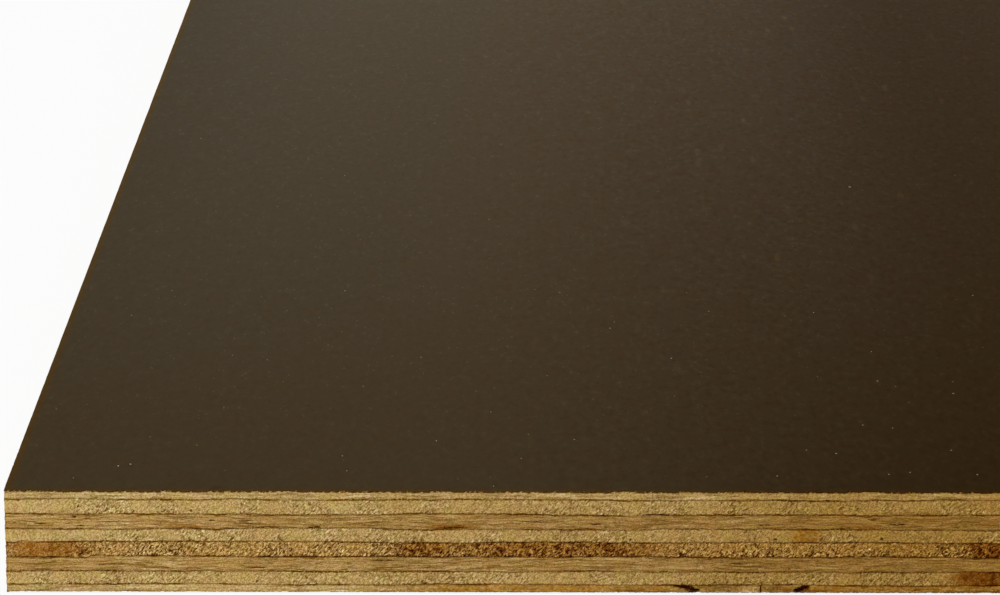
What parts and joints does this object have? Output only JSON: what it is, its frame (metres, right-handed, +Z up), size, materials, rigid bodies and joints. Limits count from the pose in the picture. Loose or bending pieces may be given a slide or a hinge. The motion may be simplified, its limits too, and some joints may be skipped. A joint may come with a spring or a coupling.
{
  "type": "plywood sheet",
  "caption": "Full rectangular sheet of film-faced plywood, with a smooth dark brown film on both faces and raw saw-cut edges that show the crossed veneers.",
  "frame": {"origin": "centre of the sheet's underside, on the floor that it lies on", "axes": "+X along the long edge, which is the way of the face grain; +Y across the sheet; +Z up, out of the top face"},
  "size_m": [2.44, 1.22, 0.018],
  "materials": {
    "film": "satin",
    "face_veneer": "matte",
    "cross_veneer": "matte",
    "long_veneer": "matte",
    "dark_core_veneer": "matte"
  },
  "bodies": {
    "root": {"film_bottom": "film", "face_ply_bottom": "face_veneer", "cross_ply_lower": "cross_veneer", "long_ply_lower": "long_veneer", "centre_ply_lower": "dark_core_veneer", "centre_ply_upper": "cross_veneer", "long_ply_upper": "long_veneer", "cross_ply_upper": "cross_veneer", "face_ply_top": "face_veneer", "film_top": "film"}
  },
  "joints": []
}
